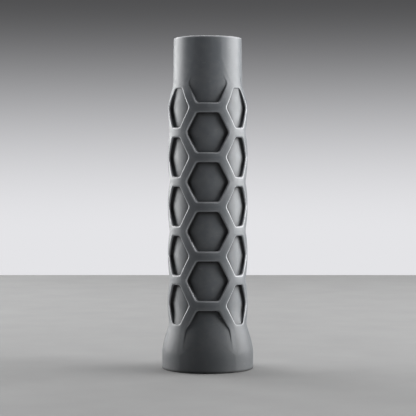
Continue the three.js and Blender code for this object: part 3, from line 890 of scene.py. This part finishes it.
spots = brass.band(brass.noise(1.6, 4), 0.6, 0.75)
brass.feed(
    Base_Color=brass.blend((tarnish * 0.8 + spots * 0.3).clamped(), (0.68, 0.50, 0.24), (0.42, 0.29, 0.12)),
    Roughness=(0.22 + tarnish * 0.2 + spots * 0.15).clamped(),
    Normal=brass.bump(brass_marks, 0.008, 0.5),
)
brass.on(nut.piece("scalloped_nut", "nut", "thumb_nut", sharp=50))

# ---- The bail's lugs and their rivets ----
# Two brackets pressed from steel strip, bent up beside the nut, each with a rounded ear that the wire hooks
# through. Each is held to the cap by two aluminium rivets with domed heads.
sheet, bend_outside, bend_inside, sheared_edge = 1.6, 2.1, 0.6, 0.25
pivot_over_lug, pivot_hole, ear_drop = 4.7, 1.4, 2.3
ear_rows, hole_steps = 24, 40
broken_edge, sliver = 0.1, 0.03
# without the rows next to the two ends, which would lie too close to them for the broken edges
used_rows = (0, *range(2, ear_rows - 1), ear_rows)


def extents(node):
    """A node's lowest and highest corners, in millimetres."""
    return [[value / mm for value in corner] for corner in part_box(node)]


def drilled(made, cutter):
    """Takes a closed shell out of a piece, and clears away the slivers that this leaves."""
    plug = bpy.data.meshes.new("pivot_hole")
    plug.from_pydata([Vector(point) * mm for point in cutter.points], [], cutter.faces)
    work = bmesh.new()
    work.from_mesh(plug)
    bmesh.ops.recalc_face_normals(work, faces=work.faces)
    work.to_mesh(plug)
    work.free()
    drill = bpy.data.objects.new("pivot_hole", plug)
    bpy.context.scene.collection.objects.link(drill)
    made.modifiers.clear()
    cut = made.modifiers.new("pivot_hole", "BOOLEAN")
    cut.object, cut.solver = drill, "EXACT"
    bpy.context.view_layer.update()
    finished = bpy.data.meshes.new_from_object(made.evaluated_get(bpy.context.evaluated_depsgraph_get()))
    work = bmesh.new()
    work.from_mesh(finished)
    bmesh.ops.dissolve_limit(work, angle_limit=math.radians(0.5), verts=work.verts, edges=work.edges)
    bmesh.ops.remove_doubles(work, verts=work.verts, dist=sliver * mm)
    work.to_mesh(finished)
    work.free()
    made.modifiers.clear()
    made.data = finished
    finished.polygons.foreach_set("use_smooth", [True] * len(finished.polygons))
    finished.set_sharp_from_angle(angle=math.radians(35))
    bpy.data.objects.remove(drill)


def bracket(node, name):
    """A bent bracket, with its ear on the side away from the axis."""
    low, high = extents(node)
    side = 1 if high[0] > 0 else -1
    inner, outer = sorted((abs(low[0]), abs(high[0])))
    back = outer - sheet
    half, foot, top = high[1], low[2], high[2]
    shell = Shell()
    rings = []
    for row in used_rows:
        y = half * math.sin(math.pi * (row / ear_rows - 0.5))
        crown = top - ear_drop * (1 - math.sqrt(max(0, 1 - (y / half) ** 2)))
        section = [(inner, foot)]
        section += arc((outer - bend_outside, foot + bend_outside), bend_outside, -90, 0, 8)
        section += [(outer, crown - sheared_edge), (outer - sheared_edge, crown)]
        section += [(back + sheared_edge, crown), (back, crown - sheared_edge)]
        section += arc((back - bend_inside, foot + sheet + bend_inside), bend_inside, 0, -90, 5)
        section += [(inner, foot + sheet)]
        rings.append(shell.add([(side * x, y, z) for x, z in section]))
    for lower, upper in zip(rings, rings[1:]):
        shell.band(lower, upper)
    shell.faces += [tuple(rings[0]), tuple(rings[-1])]
    made = shell.piece(name, "lid", node)
    turns = [2 * math.pi * (step + 0.5) / hole_steps for step in range(hole_steps)]
    hole = [(pivot_hole * math.cos(t), foot + pivot_over_lug + pivot_hole * math.sin(t)) for t in turns]
    cutter = Shell()
    ends = [cutter.add([(side * x, y, z) for y, z in hole]) for x in (inner + 3, outer + 1)]
    cutter.band(*ends)
    cutter.faces += [tuple(ends[0]), tuple(ends[1])]
    drilled(made, cutter)
    broken = made.modifiers.new("broken_edges", "BEVEL")
    broken.width, broken.segments = broken_edge * mm, 2
    broken.limit_method, broken.angle_limit = "ANGLE", math.radians(70)
    made.modifiers.new("even_shading", "WEIGHTED_NORMAL").keep_sharp = True
    return made


brushed_strip = Finish("brushed_strip_steel", Metallic=1.0)
brushing = brushed_strip.noise(0.3, 4, (1, 0.04, 1))
mottle = brushed_strip.noise(4, 4)
brushed_strip.feed(
    Base_Color=brushed_strip.blend(mottle, (0.48, 0.48, 0.48), (0.58, 0.58, 0.57)),
    Roughness=(0.26 + brushing * 0.16 + mottle * 0.08).clamped(),
    Normal=brushed_strip.bump(brushing, 0.012, 0.5),
)
brushed_strip.on(bracket("bail_lug_left", "left_bracket"), bracket("bail_lug_right", "right_bracket"))

soft_aluminium = Finish("rivet_aluminium", Metallic=1.0)
peening = soft_aluminium.noise(0.5, 3)
soft_aluminium.feed(
    Base_Color=soft_aluminium.blend(peening, (0.60, 0.61, 0.63), (0.72, 0.73, 0.74)),
    Roughness=(0.26 + peening * 0.22).clamped(),
    Normal=soft_aluminium.bump(peening, 0.03, 0.4),
)
shank, head_height, head_edge, rivet_steps = 0.8, 0.8, 0.15, 40
for i in range(1, 5):
    node = f"lug_rivet_{i}"
    low, high = extents(node)
    head_half = (high[0] - low[0]) / 2
    head_base = high[2] - head_height
    section = [(0, low[2]), (shank, low[2]), (shank, head_base), (head_half - 0.1, head_base)]
    for turn in range(0, 90, 12):
        at = math.radians(turn)
        dome = (head_height - head_edge) * math.sin(at)
        section.append((head_half * math.cos(at), head_base + head_edge + dome))
    rivet = turned_shell(section + [(0, high[2])], rivet_steps)
    middle = [(low[k] + high[k]) / 2 for k in (0, 1)]
    rivet.points = [(x + middle[0], y + middle[1], z) for x, y, z in rivet.points]
    soft_aluminium.on(rivet.piece(f"domed_rivet_{i}", "lid", node))

# ---- The bail handle ----
# One length of bright steel wire, bent to a bow, whose ends hook in through the two ears and are upset into
# small heads so that they can't pull out.
low, high = extents("bail_handle")
wire, wire_end, wire_bend, wire_steps = 1.1, 14.1, 1.8, 20
bail_half = high[0] - wire
pivot_z = (low[2] + high[2]) / 2
bail_leg = -low[1] - wire - bail_half
hook = [(wire_end, 0), (bail_half - wire_bend, 0)]
hook += arc((bail_half - wire_bend, -wire_bend), wire_bend, 90, 0, 8)[1:]
hook.append((bail_half, -bail_leg))
bow = arc((0, -bail_leg), bail_half, 0, -180, 72)
bend_points = [Vector(point) for point in [*hook, *bow[1:], *[(-x, y) for x, y in reversed(hook)][1:]]]
path = bend_points[:1]
path += [here for before, here in zip(bend_points, bend_points[1:]) if (here - before).length > 1e-4]
# the upset heads: how far from each end, and how thick there as a share of the wire
swellings = [(0, 0.75), (0.12, 1.02), (0.3, 1.12), (0.5, 1.12), (0.75, 1.0)]
leading, trailing = path[1] - path[0], path[-1] - path[-2]
stations = [(path[0] + leading.normalized() * at, leading, swell) for at, swell in swellings]
for before, here, after in zip(path, path[1:], path[2:]):
    stations.append((here, (here - before).normalized() + (after - here).normalized(), 1))
stations += [(path[-1] - trailing.normalized() * at, trailing, swell) for at, swell in reversed(swellings)]
bail = Shell()
rings = []
for centre, direction, swell in stations:
    across = Vector((-direction.y, direction.x)).normalized()
    ring = []
    for step in range(wire_steps):
        turn = 2 * math.pi * step / wire_steps
        spot = centre + across * wire * swell * math.cos(turn)
        ring.append((spot.x, spot.y, pivot_z + wire * swell * math.sin(turn)))
    rings.append(bail.add(ring))
for lower, upper in zip(rings, rings[1:]):
    bail.band(lower, upper)
for ring, end in ((rings[0], path[0]), (rings[-1], path[-1])):
    bail.fan(ring, bail.add([(end.x, end.y, pivot_z)])[0])
bright_wire = Finish("bright_wire", Metallic=1.0)
draw_lines = bright_wire.noise(0.2, 3, (0.3, 0.3, 1))
handling = bright_wire.noise(3, 4)
bright_wire.feed(
    Base_Color=bright_wire.blend(handling, (0.68, 0.69, 0.70), (0.60, 0.60, 0.60)),
    Roughness=(0.1 + handling * 0.14 + draw_lines * 0.06).clamped(),
    Normal=bright_wire.bump(draw_lines, 0.006, 0.4),
)
bright_wire.on(bail.piece("wire_bail", "bail", "bail_handle"))

# ---- The room ----
# A plain pale bench, a little over a metre to each side, before a plain backdrop that grows darker upwards.
# Two large soft boxes light the barrel's sides, the left one from further back, and a long one hangs behind
# and above. Those at the sides stand beyond the bench, so that they leave no hard line on it.
bench_half = 1.11
floor = bpy.data.objects.new("bench_top", bpy.data.meshes.new("bench_top"))
bench_corners = [(x * bench_half, y * bench_half, 0) for x, y in ((-1, -1), (1, -1), (1, 1), (-1, 1))]
floor.data.from_pydata(bench_corners, [], [(0, 1, 2, 3)])
bpy.context.scene.collection.objects.link(floor)
bench = Finish("pale_bench", Roughness=0.8, Specular_IOR_Level=0.2)
bench.feed(Base_Color=bench.blend(bench.noise(60, 5), (0.26, 0.26, 0.26), (0.31, 0.31, 0.31)))
bench.on(floor)


def soft_box(name, azimuth, distance, height_of_middle, size, power):
    """A rectangular light, size metres wide and high, that faces the barrel. Azimuth 0 is the front."""
    light = bpy.data.lights.new(name, "AREA")
    light.shape, light.energy = "RECTANGLE", power
    light.size, light.size_y = size
    lamp = bpy.data.objects.new(name, light)
    turn = math.radians(azimuth)
    lamp.location = (distance * math.sin(turn), -distance * math.cos(turn), height_of_middle)
    to_barrel = Vector((0, 0, height * mm / 2)) - lamp.location
    lamp.rotation_euler = to_barrel.to_track_quat("-Z", "Y").to_euler()
    bpy.context.scene.collection.objects.link(lamp)


soft_box("left_box", -119, 1.65, 0.5, (1.6, 1.65), 50)
soft_box("right_box", 96, 1.65, 0.5, (1.8, 1.65), 74)
soft_box("top_box", 180, 0.9, 1.5, (1.8, 0.5), 16)
world = bpy.data.worlds.new("studio")
world.use_nodes = True
backdrop = NodeTree(world.node_tree)
direction = backdrop.node("ShaderNodeTexCoord", "Generated")
upwards = backdrop.node("ShaderNodeSeparateXYZ", "Z", None, {0: direction})
low_and_bright = {"From Min": -0.05, "To Min": 0.8}
high_and_dark = {"From Max": 0.11, "To Max": 0.08}
brightness = backdrop.node(
    "ShaderNodeMapRange",
    0,
    {"interpolation_type": "SMOOTHSTEP"},
    {"Value": upwards, **low_and_bright, **high_and_dark},
)
wall = world.node_tree.nodes["Background"]
wall.inputs["Color"].default_value = (0.97, 0.97, 1, 1)
world.node_tree.links.new(brightness.socket, wall.inputs["Strength"])
bpy.context.scene.world = world
bpy.context.scene.view_settings.view_transform = "Standard"
